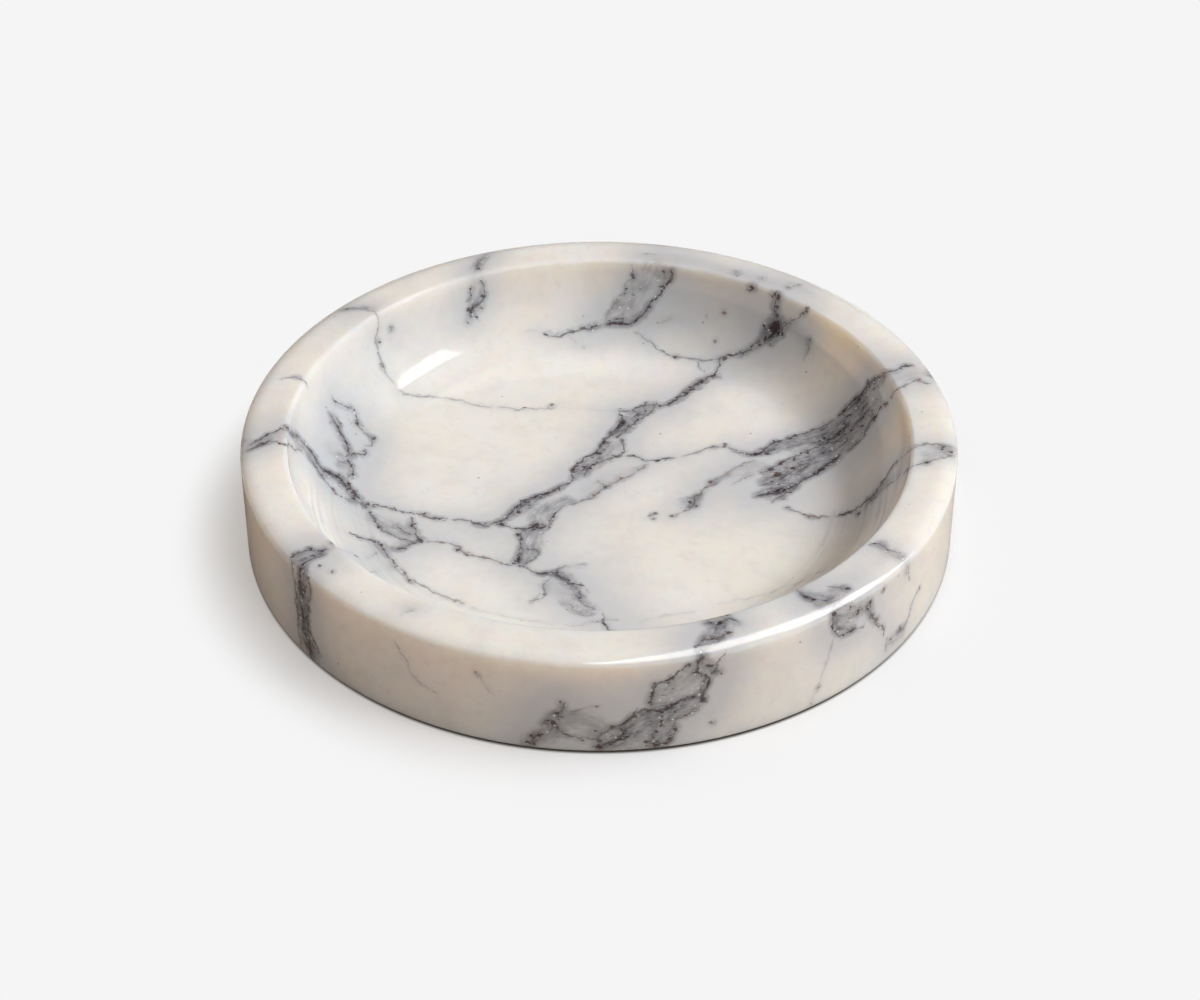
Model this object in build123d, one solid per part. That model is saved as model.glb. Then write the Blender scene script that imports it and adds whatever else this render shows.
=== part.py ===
"""Ring dish turned from one disc of marble, standing on four thin pads.

The origin is the middle of the dish on the surface that it stands on, and +Z is the turning axis.
"""

import math
import os

from build123d import *

# Driving dimensions of the stone, in millimetres
dish_diameter = 127.0      # five inches across
stone_thickness = 19.5     # a 20 mm slab once its two faces are honed flat
rim_width = 8.2            # flat ring, from the outer wall to the bowl's wall
bowl_depth = 13.5          # from the top of the rim down to the floor
wall_lip = 1.0             # straight stretch of the bowl's wall, just under the rim's inner edge
edge_slope_width = 1.9     # the rim's outer edge is eased by a shallow slope of this width
edge_slope_drop = 0.8      # and of this fall, down to the outer wall
edge_roll_radius = 4.0     # soft roll from the flat rim into the slope
outer_edge_radius = 1.0    # tight round from the slope into the outer wall
inner_edge_radius = 0.8    # crisp inner edge of the rim, only eased
foot_arris = 0.4           # small bevel round the base
wall_lean_degrees = 6.0    # how far the bowl's wall opens outwards

# Driving dimensions of the pads, in millimetres
pad_count = 4
pad_diameter = 12.0
pad_thickness = 0.5
pad_setback = 13.5         # from the stone's outer wall in to the nearest point of each pad
first_pad_degrees = 45.0

# Heights and radii that follow from them
outer_radius = dish_diameter / 2
bowl_radius = outer_radius - rim_width
base_height = pad_thickness
rim_height = base_height + stone_thickness
floor_height = rim_height - bowl_depth
pad_circle_radius = outer_radius - pad_setback - pad_diameter / 2

# The wall sweeps down into the floor in one arc, which takes up all of the wall below its lip
wall_lean = math.radians(wall_lean_degrees)
wall_turn = math.radians(90) - wall_lean
tangent_share = math.tan(wall_turn / 2)
wall_length = bowl_depth / math.cos(wall_lean)
floor_sweep_radius = (wall_length - wall_lip) / tangent_share - inner_edge_radius


def corner_at(sketch, point):
    """The corner of the drawn outline that lies at this point."""
    return sketch.vertices().sort_by_distance(point)[0]


def make_dish():
    """The stone: half of its section, revolved about the turning axis."""
    floor_middle = (0, floor_height)
    base_middle = (0, base_height)
    foot_corner = (outer_radius, base_height)
    slope_foot = (outer_radius, rim_height - edge_slope_drop)
    slope_top = (outer_radius - edge_slope_width, rim_height)
    inner_corner = (bowl_radius, rim_height)
    wall_foot = (bowl_radius - bowl_depth * math.tan(wall_lean), floor_height)
    with BuildPart() as stone:
        with BuildSketch(Plane.XZ) as section:
            with BuildLine():
                Polyline(
                    floor_middle, base_middle, foot_corner, slope_foot, slope_top, inner_corner,
                    wall_foot, close=True,
                )
            make_face()
            chamfer(corner_at(section, foot_corner), foot_arris)
            fillet(corner_at(section, slope_foot), outer_edge_radius)
            fillet(corner_at(section, slope_top), edge_roll_radius)
            fillet(corner_at(section, inner_corner), inner_edge_radius)
            fillet(corner_at(section, wall_foot), floor_sweep_radius)
        revolve(axis=Axis.Z)
    return stone.part


def make_pads():
    """The pads: die-cut discs stuck to the flat base, evenly spaced round it."""
    disc = Cylinder(pad_diameter / 2, pad_thickness, align=(Align.CENTER, Align.CENTER, Align.MIN))
    places = PolarLocations(pad_circle_radius, pad_count, start_angle=first_pad_degrees)
    return [place * disc for place in places]


nodes = {"dish": make_dish()}
for number, pad in enumerate(make_pads(), start=1):
    nodes[f"pad_{number}"] = pad

os.makedirs("parts", exist_ok=True)
for node, solid in nodes.items():
    export_step(solid, f"parts/{node}.step")
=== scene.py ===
"""A ring dish turned from one disc of veined marble, in a plain soft studio."""

import math

import bmesh
import bpy
import numpy as np
from mathutils import Matrix, Vector
from mathutils.bvhtree import BVHTree


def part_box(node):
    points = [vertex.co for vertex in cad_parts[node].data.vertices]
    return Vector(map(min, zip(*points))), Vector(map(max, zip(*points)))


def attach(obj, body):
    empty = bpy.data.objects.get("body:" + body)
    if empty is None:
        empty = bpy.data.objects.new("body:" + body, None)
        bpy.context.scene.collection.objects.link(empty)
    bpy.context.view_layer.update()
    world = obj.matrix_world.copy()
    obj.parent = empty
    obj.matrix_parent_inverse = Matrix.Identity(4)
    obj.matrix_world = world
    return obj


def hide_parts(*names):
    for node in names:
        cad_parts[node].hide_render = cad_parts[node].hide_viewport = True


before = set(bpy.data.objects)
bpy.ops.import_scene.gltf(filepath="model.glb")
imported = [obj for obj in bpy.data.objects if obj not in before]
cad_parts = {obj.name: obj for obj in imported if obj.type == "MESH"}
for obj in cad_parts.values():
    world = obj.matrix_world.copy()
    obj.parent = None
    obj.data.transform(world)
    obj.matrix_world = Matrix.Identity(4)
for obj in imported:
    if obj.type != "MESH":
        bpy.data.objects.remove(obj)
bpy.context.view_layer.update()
MM = 0.001

# Stone section in millimetres. The diameter and the heights come from the frame.
stone_low, stone_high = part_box("dish")
OUTER_RADIUS = stone_high.x / MM
BASE_HEIGHT = stone_low.z / MM
RIM_HEIGHT = stone_high.z / MM
RIM_WIDTH = 8.2
BOWL_DEPTH = 13.5
WALL_LIP = 1.0
WALL_LEAN = 6.0
EDGE_SLOPE_WIDTH = 1.9
EDGE_SLOPE_DROP = 0.8
EDGE_ROLL = 4.0
OUTER_EDGE = 1.0
INNER_EDGE = 0.8
FOOT_EDGE = 0.4

# Mesh spacing in millimetres, degrees between an arc's points, and steps round the dish
SPACING = 0.72
UNDER_SPACING = 2.6
ARC_STEP = 11.0
STEPS_ROUND = 576
TURNED_PARTS = 16
MERGE_GAP = 0.004

# Camera, as it stood for the photograph: pixels, millimetres and an angle. The nearest distance
# seen is in metres.
PHOTO_WIDTH = 1200
PHOTO_HEIGHT = 1000
FOCAL_PX = 2817.0
SENSOR_WIDTH = 36
NEAREST_SEEN = 0.01
CAMERA_DISTANCE = 510.0
CAMERA_ELEVATION = math.radians(37.4)
LOOK_AT = Vector((0.16, 0, 4.0))
TOWARDS_CAMERA = Vector((0, -math.cos(CAMERA_ELEVATION), math.sin(CAMERA_ELEVATION)))
CAMERA_PLACE = LOOK_AT + TOWARDS_CAMERA * CAMERA_DISTANCE
CAMERA_RIGHT = Vector((1, 0, 0))
CAMERA_UP = TOWARDS_CAMERA.cross(CAMERA_RIGHT)


def make_camera():
    """A camera in front of the dish, looking a little down on it."""
    data = bpy.data.cameras.new("camera")
    data.sensor_width = SENSOR_WIDTH
    data.lens = FOCAL_PX / PHOTO_WIDTH * SENSOR_WIDTH
    data.clip_start = NEAREST_SEEN
    camera = bpy.data.objects.new("camera", data)
    camera.location = CAMERA_PLACE * MM
    camera.rotation_euler = (-TOWARDS_CAMERA).to_track_quat("-Z", "Y").to_euler()
    bpy.context.scene.collection.objects.link(camera)
    bpy.context.scene.camera = camera


# The turned stone
def arc(centre, radius, start, end):
    """Points on an arc from one angle to another, in degrees."""
    count = max(2, round(abs(math.radians(end - start)) * radius / SPACING))
    count = max(count, round(abs(end - start) / ARC_STEP))
    angles = [math.radians(start + (end - start) * i / count) for i in range(count + 1)]
    return [(centre[0] + radius * math.cos(a), centre[1] + radius * math.sin(a)) for a in angles]


def run(start, end, step=SPACING):
    """Points along a straight run, its ends left out."""
    count = max(1, round(math.dist(start, end) / step))
    return [tuple(a + (b - a) * i / count for a, b in zip(start, end)) for i in range(1, count)]


def dish_section():
    """Half of the dish's section, as radius and height, from the bowl's middle to the base's."""
    lean = math.radians(WALL_LEAN)
    wall_turn = math.pi / 2 - lean
    bowl = OUTER_RADIUS - RIM_WIDTH
    floor = RIM_HEIGHT - BOWL_DEPTH
    wall_length = BOWL_DEPTH / math.cos(lean)
    reach = math.tan(wall_turn / 2)
    sweep = (wall_length - WALL_LIP) / reach - INNER_EDGE
    foot = bowl - BOWL_DEPTH * math.tan(lean)
    sweep_start = foot - sweep * reach
    inner_centre = (
        bowl - INNER_EDGE * math.tan(lean) + INNER_EDGE / math.cos(lean),
        RIM_HEIGHT - INNER_EDGE,
    )
    slope = math.atan2(EDGE_SLOPE_DROP, EDGE_SLOPE_WIDTH)
    corner = math.pi / 2 - slope
    roll_centre = (
        OUTER_RADIUS - EDGE_SLOPE_WIDTH - EDGE_ROLL * math.tan(slope / 2),
        RIM_HEIGHT - EDGE_ROLL,
    )
    corner_centre = (
        OUTER_RADIUS - OUTER_EDGE,
        RIM_HEIGHT - EDGE_SLOPE_DROP - OUTER_EDGE * math.tan(corner / 2),
    )
    sweep_arc = arc((sweep_start, floor + sweep), sweep, -90, -WALL_LEAN)
    inner_arc = arc(inner_centre, INNER_EDGE, 180 - WALL_LEAN, 90)
    roll_arc = arc(roll_centre, EDGE_ROLL, 90, math.degrees(corner))
    corner_arc = arc(corner_centre, OUTER_EDGE, math.degrees(corner), 0)
    foot_top = (OUTER_RADIUS, BASE_HEIGHT + FOOT_EDGE)
    foot_end = (OUTER_RADIUS - FOOT_EDGE, BASE_HEIGHT)
    middle = (0, floor)
    under_middle = (0, BASE_HEIGHT)
    points = [middle] + run(middle, sweep_arc[0]) + sweep_arc
    points += run(sweep_arc[-1], inner_arc[0]) + inner_arc
    points += run(inner_arc[-1], roll_arc[0]) + roll_arc
    points += run(roll_arc[-1], corner_arc[0]) + corner_arc
    points += run(corner_arc[-1], foot_top) + [foot_top, foot_end]
    points += run(foot_end, under_middle, UNDER_SPACING) + [under_middle]
    return points


def turn_dish():
    """The section turned about +Z: one sixteenth is spun, then doubled until the ring is whole."""
    form = bmesh.new()
    verts = [form.verts.new((radius, 0, height)) for radius, height in dish_section()]
    edges = [form.edges.new(pair) for pair in zip(verts, verts[1:])]
    whole = 2 * math.pi
    part = whole / TURNED_PARTS
    bmesh.ops.spin(
        form, geom=verts + edges, axis=(0, 0, 1), cent=(0, 0, 0),
        angle=part, steps=STEPS_ROUND // TURNED_PARTS, use_merge=False,
    )
    while part < whole:
        everything = form.verts[:] + form.edges[:] + form.faces[:]
        copied = bmesh.ops.duplicate(form, geom=everything)["geom"]
        moved = [item for item in copied if isinstance(item, bmesh.types.BMVert)]
        bmesh.ops.rotate(form, verts=moved, cent=(0, 0, 0), matrix=Matrix.Rotation(part, 3, "Z"))
        part *= 2
    bmesh.ops.remove_doubles(form, verts=form.verts, dist=MERGE_GAP)
    bmesh.ops.recalc_face_normals(form, faces=form.faces)
    return form


def make_object(name, form):
    """A new object with the shaped form as its mesh, shaded smooth."""
    mesh = bpy.data.meshes.new(name)
    form.to_mesh(mesh)
    form.free()
    for polygon in mesh.polygons:
        polygon.use_smooth = True
    piece = bpy.data.objects.new(name, mesh)
    bpy.context.scene.collection.objects.link(piece)
    return piece


# Veins that the photograph shows, in its pixels: strength, how rusty, and points
SEEN_VEINS = [
    # The long vein across the bowl, upper edge
    (0.9, 0.2, [(762, 338), (749, 349), (741, 354), (724, 356)]),
    (1.0, 0.1, [(724, 356), (721, 363), (716, 375), (710, 377), (700, 382), (690, 388), (682, 397),
        (669, 404), (659, 406)]),
    (0.9, 0.1, [(659, 406), (644, 405), (632, 410), (619, 412)]),
    (1.0, 0.0, [(619, 412), (623, 422), (613, 432), (602, 445), (594, 455), (584, 458), (571, 472)]),
    (1.0, 0.0, [(571, 472), (575, 478), (565, 484), (548, 494), (529, 499), (515, 506), (504, 520),
        (489, 527)]),
    # Its lower edge
    (0.8, 0.0, [(659, 406), (651, 413), (640, 418), (632, 426), (619, 435), (612, 440)]),
    (0.9, 0.0, [(620, 437), (623, 445), (623, 456), (609, 458), (598, 464), (590, 468), (582, 478)]),
    (0.6, 0.4, [(697, 359), (702, 369), (708, 374)]),
    # The branch to the right, and the edge below it
    (1.0, 0.1, [(623, 456), (636, 457), (649, 462), (665, 458), (678, 457)]),
    (0.7, 0.3, [(678, 457), (693, 454), (707, 448), (726, 446), (739, 453), (747, 455)]),
    (0.7, 0.6, [(649, 462), (638, 471), (628, 476), (621, 479), (607, 485), (594, 495), (582, 501),
        (567, 504)]),
    (0.7, 0.1, [(567, 504), (556, 514), (550, 525), (544, 531)]),
    (0.5, 0.2, [(607, 485), (602, 483), (596, 479)]),
    # The foot of the long vein
    (1.0, 0.0, [(498, 524), (508, 526), (525, 529), (537, 525), (540, 529), (550, 525)]),
    (1.0, 0.0, [(517, 531), (523, 539), (523, 548), (517, 558), (515, 565)]),
    (0.9, 0.1, [(515, 565), (527, 570), (540, 574), (550, 572), (559, 577), (569, 583), (586, 588)]),
    (0.7, 0.0, [(523, 548), (535, 550), (537, 554), (533, 560), (519, 563)]),
    (0.6, 0.4, [(550, 573), (560, 568), (573, 564), (590, 566)]),
    (0.6, 0.3, [(573, 583), (575, 592), (582, 602), (600, 611)]),
    (0.5, 0.2, [(546, 591), (537, 600), (525, 604)]),
    (0.4, 0.2, [(556, 600), (567, 608), (582, 613), (602, 612)]),
    # The arc and the upper vein
    (0.6, 0.4, [(632, 329), (647, 339), (661, 351), (676, 356), (696, 359), (710, 359), (724, 356)]),
    (0.3, 0.7, [(520, 331), (540, 332)]),
    (0.8, 0.2, [(540, 332), (558, 335), (566, 334), (577, 331), (583, 328), (594, 327), (602, 323)]),
    (1.0, 0.0, [(602, 323), (610, 324), (621, 324), (632, 324), (639, 318), (648, 310), (653, 301),
        (661, 289), (671, 280), (672, 266)]),
    (0.5, 0.2, [(604, 322), (615, 305), (620, 296), (628, 285), (634, 275), (632, 261)]),
    (0.4, 0.1, [(566, 336), (574, 340), (580, 345)]),
    # From the dark knot up to the rim
    (0.9, 0.1, [(775, 320), (776, 303), (777, 296), (777, 289)]),
    (0.7, 0.2, [(781, 325), (793, 321), (803, 313), (810, 308)]),
    (0.7, 0.1, [(766, 292), (773, 297), (777, 304)]),
    (0.7, 0.1, [(750, 282), (754, 288), (743, 290)]),
    (0.4, 0.1, [(812, 334), (810, 341), (807, 355), (801, 366)]),
    (0.3, 0.2, [(676, 319), (667, 322), (658, 325)]),
    # Broad band on the right: upper edge, middle and lower edge
    (1.0, 0.0, [(746, 454), (760, 454), (771, 444), (786, 439), (803, 434), (816, 430), (836, 419)]),
    (1.0, 0.0, [(836, 419), (844, 411), (856, 401), (864, 392), (870, 379)]),
    (0.9, 0.0, [(864, 391), (874, 380), (884, 374), (896, 370), (906, 366), (917, 365)]),
    (0.9, 0.0, [(757, 474), (766, 471), (780, 463), (793, 458), (806, 451), (823, 444), (833, 439),
        (841, 432), (850, 420)]),
    (0.6, 0.7, [(708, 484), (725, 473), (737, 467), (748, 463), (757, 459)]),
    (0.5, 0.3, [(728, 486), (742, 480), (757, 474)]),
    (1.0, 0.1, [(755, 496), (765, 494), (775, 494), (790, 488), (803, 481), (819, 473), (833, 462),
        (844, 454)]),
    (1.0, 0.0, [(844, 454), (858, 441), (867, 428), (874, 418), (884, 406), (889, 401)]),
    (0.7, 0.3, [(889, 401), (896, 390), (906, 385), (919, 380), (934, 383)]),
    (0.6, 0.1, [(768, 504), (780, 499), (788, 496)]),
    (0.6, 0.0, [(778, 478), (790, 472), (806, 464), (818, 456)]),
    # Lines below the band
    (0.7, 0.6, [(785, 509), (796, 513), (809, 517), (819, 518), (833, 517)]),
    (0.9, 0.1, [(833, 517), (849, 512), (859, 507), (869, 499), (879, 489), (889, 473), (899, 459)]),
    (0.6, 0.2, [(899, 459), (912, 448), (919, 444), (935, 444), (949, 448), (956, 447)]),
    (0.5, 0.1, [(856, 518), (867, 504), (879, 493), (891, 483), (902, 474)]),
    (0.7, 0.2, [(902, 474), (914, 465), (927, 464), (934, 459), (945, 456), (956, 456)]),
    # Small cluster in the middle
    (0.6, 0.4, [(646, 517), (655, 514)]),
    (0.7, 0.4, [(672, 517), (686, 512), (695, 504), (697, 495), (711, 484), (720, 479)]),
    (0.4, 0.2, [(674, 501), (686, 499), (694, 500)]),
    # Long vein on the left, from the rim down into the bowl
    (0.9, 0.0, [(246, 446), (257, 442), (269, 434), (285, 427)]),
    (1.0, 0.0, [(285, 427), (299, 438), (310, 448), (318, 465), (331, 472), (340, 478), (349, 487),
        (359, 501)]),
    (1.0, 0.0, [(359, 501), (369, 509)]),
    (0.8, 0.1, [(245, 452), (257, 447), (268, 443), (275, 442), (292, 446), (304, 452)]),
    (0.8, 0.0, [(304, 452), (314, 464), (321, 475), (331, 487), (338, 495), (350, 502), (359, 504)]),
    (0.9, 0.1, [(362, 503), (385, 507), (407, 513), (424, 514), (433, 518), (450, 519)]),
    (0.9, 0.1, [(450, 519), (467, 522), (478, 524), (493, 526)]),
    (0.7, 0.1, [(369, 509), (373, 520), (383, 530), (390, 538)]),
    (0.9, 0.1, [(407, 516), (412, 521), (415, 530), (417, 536), (424, 541)]),
    (0.6, 0.1, [(392, 524), (404, 530), (416, 536)]),
    (0.8, 0.1, [(424, 541), (416, 542), (407, 547), (397, 549), (386, 549)]),
    (0.6, 0.1, [(383, 530), (395, 537), (408, 541), (424, 541)]),
    (0.3, 0.1, [(362, 559), (372, 556), (379, 549)]),
    (0.8, 0.5, [(424, 541), (435, 541), (448, 544), (457, 547), (469, 554), (483, 558), (493, 560),
        (515, 565)]),
    (0.8, 0.1, [(345, 531), (352, 535), (362, 538), (373, 540), (381, 544), (385, 552), (390, 559),
        (396, 567)]),
    (0.6, 0.7, [(396, 567), (411, 580), (421, 586), (442, 595), (467, 606)]),
    # This last part is a vein's reflection in the polished front sweep, painted as a dark line
    (0.3, 0.6, [(467, 606), (493, 614), (520, 620), (560, 623)]),
    (0.3, 0.1, [(331, 547), (345, 552), (362, 559)]),
    # Cluster on the left of the bowl
    (0.8, 0.2, [(331, 394), (333, 401), (343, 405), (355, 410)]),
    (0.8, 0.4, [(354, 411), (358, 424), (365, 431), (373, 437), (371, 446), (363, 447)]),
    (0.8, 0.1, [(363, 447), (367, 456), (354, 454), (344, 457)]),
    (1.0, 0.0, [(327, 409), (331, 416), (337, 424), (343, 437), (347, 446), (350, 455)]),
    (0.6, 0.1, [(327, 424), (335, 422), (339, 432)]),
    (0.9, 0.0, [(344, 457), (352, 468), (355, 476), (346, 477)]),
    (0.6, 0.1, [(336, 413), (340, 424), (344, 440)]),
    (0.6, 0.1, [(333, 451), (342, 458), (351, 455)]),
    (0.5, 0.1, [(335, 467), (342, 462), (351, 467)]),
    # Thin line round the left of the bowl
    (0.5, 0.2, [(338, 310), (355, 308), (374, 311), (379, 317), (376, 336), (377, 355), (383, 369),
        (391, 381), (396, 388)]),
    (0.5, 0.3, [(396, 388), (404, 394), (420, 396), (435, 397), (459, 401), (476, 405), (494, 407)]),
    (0.5, 0.3, [(494, 407), (522, 410), (545, 409), (558, 407)]),
    (0.2, 0.7, [(558, 407), (580, 409), (600, 411), (619, 412)]),
    # Short vein at the back left, from the rim down
    (0.7, 0.1, [(490, 256), (482, 259), (478, 266), (475, 272)]),
    (0.8, 0.2, [(479, 277), (484, 290), (484, 298), (479, 303), (471, 310), (468, 323)]),
    (0.4, 0.2, [(470, 311), (476, 316), (481, 323)]),
    (0.6, 0.1, [(471, 283), (470, 296), (467, 306)]),
    (0.5, 0.3, [(388, 326), (393, 331), (397, 327)]),
    # Rim on the left
    (0.5, 0.5, [(276, 380), (287, 377), (298, 377), (305, 382), (309, 389)]),
    # Rim at the back right
    (0.4, 0.2, [(641, 256), (651, 252), (660, 254)]),
    (0.3, 0.2, [(722, 270), (735, 272), (739, 278)]),
    (0.5, 0.1, [(781, 289), (789, 285), (800, 284)]),
    # Rim and wall at the front, below the long vein
    (0.7, 0.1, [(704, 620), (712, 626), (721, 625), (728, 618), (735, 621), (742, 626)]),
    (0.7, 0.4, [(736, 631), (728, 632), (716, 637), (707, 638), (697, 643)]),
    (1.0, 0.1, [(692, 661), (683, 670), (673, 678), (670, 682), (656, 686), (650, 696), (648, 707)]),
    (1.0, 0.0, [(648, 707), (642, 712), (634, 716), (624, 724), (611, 726)]),
    (1.0, 0.0, [(706, 652), (699, 662), (697, 670), (707, 676), (710, 683), (705, 691), (701, 697),
        (704, 705)]),
    (0.8, 0.1, [(728, 648), (721, 659), (717, 667), (710, 678)]),
    (0.8, 0.0, [(701, 697), (689, 697), (680, 702), (667, 705), (658, 711), (648, 708)]),
    (0.8, 0.4, [(704, 705), (689, 713), (680, 718), (672, 721), (677, 728), (673, 734), (666, 740),
        (652, 748)]),
    (1.0, 0.0, [(616, 726), (626, 732), (619, 739), (603, 743), (590, 749)]),
    (0.8, 0.5, [(613, 726), (605, 733), (597, 739), (589, 740), (578, 739), (567, 736), (559, 728),
        (554, 720)]),
    (0.8, 0.2, [(554, 720), (561, 713), (562, 704), (559, 700)]),
    (0.6, 0.5, [(563, 711), (578, 710), (594, 708), (604, 708)]),
    (0.7, 0.3, [(554, 720), (543, 723), (540, 728)]),
    (0.7, 0.3, [(546, 730), (536, 736), (528, 744)]),
    (0.4, 0.9, [(713, 718), (713, 727)]),
    # Rim and wall at the front right
    (0.7, 0.2, [(796, 589), (802, 594), (808, 599), (815, 596)]),
    (0.7, 0.0, [(824, 586), (837, 587), (848, 591)]),
    (0.6, 0.2, [(865, 546), (872, 544), (880, 542), (886, 549), (898, 554), (907, 559)]),
    (0.8, 0.1, [(835, 611), (834, 622), (836, 631), (842, 635), (849, 632), (857, 630), (866, 626)]),
    (0.8, 0.1, [(870, 601), (865, 608), (871, 614), (875, 621), (882, 627), (885, 636)]),
    (0.4, 0.2, [(837, 635), (831, 645), (829, 655), (823, 672), (819, 687), (811, 702)]),
    (0.6, 0.4, [(919, 589), (912, 603), (908, 618), (902, 628), (894, 632)]),
    (0.5, 0.5, [(905, 564), (908, 572), (912, 579)]),
    (0.5, 0.4, [(888, 634), (886, 645), (884, 654)]),
    # Band down the left of the front wall
    (0.8, 0.0, [(292, 557), (304, 551), (311, 548), (318, 551), (329, 546)]),
    (0.8, 0.0, [(295, 567), (304, 563), (314, 560), (330, 553)]),
    (0.9, 0.0, [(291, 559), (295, 583), (296, 595), (298, 620), (299, 639), (305, 653)]),
    (0.9, 0.0, [(306, 573), (311, 591), (308, 606), (308, 626), (313, 639), (322, 660)]),
    (0.7, 0.0, [(300, 573), (300, 593), (304, 606), (304, 623), (306, 640)]),
    # Thin lines on the front left of the wall
    (0.4, 0.3, [(391, 639), (398, 649), (406, 663), (413, 677), (422, 686), (440, 695)]),
    (0.3, 0.9, [(477, 671), (487, 687), (495, 698)]),
    (0.4, 0.4, [(418, 609), (408, 613), (397, 618)]),
    (0.6, 0.1, [(801, 589), (806, 597), (808, 600), (819, 597)]),
    (0.5, 0.3, [(811, 605), (819, 606), (826, 607)]),
    (0.6, 0.1, [(866, 603), (870, 602), (871, 615), (879, 620), (884, 629), (884, 639)]),
    (0.6, 0.9, [(880, 592), (886, 589)]),
    # Faint lines in the front sweep of the bowl: reflections of veins in its polish, painted as dark lines
    (0.4, 0.1, [(562, 608), (575, 612), (584, 614), (590, 608), (599, 609), (601, 613)]),
    (0.3, 0.2, [(560, 624), (587, 624), (594, 621), (603, 620), (617, 619)]),
    (0.3, 0.2, [(633, 622), (648, 620), (672, 615), (700, 610)]),
    (0.3, 0.5, [(713, 605), (742, 599), (771, 592), (802, 582), (828, 568)]),
    # Fine branches below the foot of the long vein
    (0.6, 0.3, [(526, 603), (547, 595), (542, 586), (552, 577)]),
    (0.5, 0.2, [(557, 601), (567, 605), (577, 610), (588, 617), (598, 610)]),
    (0.6, 0.2, [(572, 592), (577, 600), (584, 602)]),
    (0.5, 0.3, [(582, 587), (593, 594)]),
    (0.4, 0.1, [(586, 624), (598, 623), (608, 620), (623, 620)]),
    # Single rusty grains
    (1.0, 1.0, [(773, 474), (780, 476)]),
    (0.7, 0.9, [(581, 346), (587, 347)]),
    (0.5, 0.9, [(642, 344), (646, 344)]),
    (0.5, 0.8, [(705, 317), (709, 316)]),
]

# Veins inside the front wall, where the rim hides it, in millimetres of x and y
HIDDEN_VEINS = [
    (0.9, 0.1, [(-45.4, -33.6), (-44.4, -32.2), (-43, -30), (-44, -26), (-45, -21.5)]),
    (0.7, 0.2, [(-44, -26), (-41, -26.5), (-38.5, -24)]),
    (0.9, 0.1, [(17.3, -52.6), (16, -51), (13.5, -48.8), (9, -47), (4, -43.5), (1.5, -39), (0.5, -34.5)]),
    (0.7, 0.3, [(21, -51.2), (19.5, -49.5), (15, -48), (13.5, -48.8)]),
    (0.6, 0.2, [(32.4, -44.9), (31.6, -43.2), (29.5, -42)]),
    (0.5, 0.3, [(45, -33.4), (43.2, -32.4), (41.5, -31.4)]),
]

# Veins round the back of the outer wall, in degrees round it and millimetres of height
BACK_VEINS = [
    (0.8, 0.1, [(110.5, 19.4), (111, 15), (108, 12), (109, 9), (106, 5), (107, 0.8)]),
    (0.9, 0.0, [(80, 19.4), (78, 15), (79, 11), (75, 8), (74, 4), (72, 0.8)]),
    (0.7, 0.1, [(77, 19.4), (74, 14), (75, 10), (79, 8)]),
    (0.6, 0.6, [(109, 9), (98, 7), (90, 8), (83, 6), (75, 8)]),
    (0.8, 0.1, [(52, 19.4), (50, 14), (52, 10), (56, 7), (60, 6), (66, 4), (72, 0.8)]),
    (1.0, 0.0, [(19, 19.4), (20, 14), (23, 11), (22, 8), (26, 5), (29, 0.8)]),
    (0.9, 0.1, [(13, 19.4), (14, 13), (17, 9), (18, 5), (22, 0.8)]),
    (0.6, 0.5, [(23, 11), (31, 12), (38, 9), (44, 11), (51, 12)]),
    (0.7, 0.2, [(-5, 19.4), (-2, 14), (-2, 10), (2, 6), (1, 0.8)]),
    (0.9, 0.0, [(184, 19.4), (178, 15), (179, 11), (173, 7), (174, 0.8)]),
    (0.5, 0.7, [(165, 19.4), (163, 13), (166, 9), (173, 7)]),
    (0.7, 0.2, [(142, 19.4), (139, 14), (140, 9), (136, 5), (137, 0.8)]),
    (0.4, 0.8, [(140, 9), (131, 11), (122, 9), (116, 11), (109, 12)]),
]

# Veins across the base, in millimetres of x and y
BASE_VEINS = [
    (0.9, 0.0, [(-51, -37), (-45, -33), (-40, -26), (-31, -22), (-24, -14), (-15, -12), (-6, -4)]),
    (0.7, 0.2, [(-47, -41), (-40, -36), (-33, -28), (-24, -24), (-20, -14)]),
    (1.0, 0.0, [(2, -63), (6, -55), (2, -46), (5, -37), (1, -28), (4, -18), (-3, -9), (-6, -4)]),
    (0.9, 0.0, [(11, -62), (13, -52), (9, -44), (12, -35), (6, -26), (4, -18)]),
    (0.9, 0.1, [(-6, -4), (-2, 6), (4, 15), (3, 25), (11, 33), (14, 44), (20, 52), (20, 60)]),
    (0.9, 0.0, [(4, -18), (13, -14), (22, -12), (31, -4), (40, 1), (48, 8), (51, 20), (55, 30)]),
    (0.8, 0.2, [(22, -12), (29, -10), (38, -6), (47, 1), (54, 12), (58, 24)]),
    (0.8, 0.1, [(-6, -4), (-16, 1), (-25, 4), (-36, 2), (-46, 8), (-55, 5), (-63, 6)]),
    (0.6, 0.6, [(-36, 2), (-41, 12), (-40, 22), (-46, 34), (-46, 43)]),
    (0.6, 0.4, [(3, 25), (-6, 31), (-9, 42), (-17, 50), (-19, 60)]),
]

VEINS = {
    "seen": SEEN_VEINS,
    "above": HIDDEN_VEINS,
    "side": BACK_VEINS,
    "below": BASE_VEINS,
}

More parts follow.
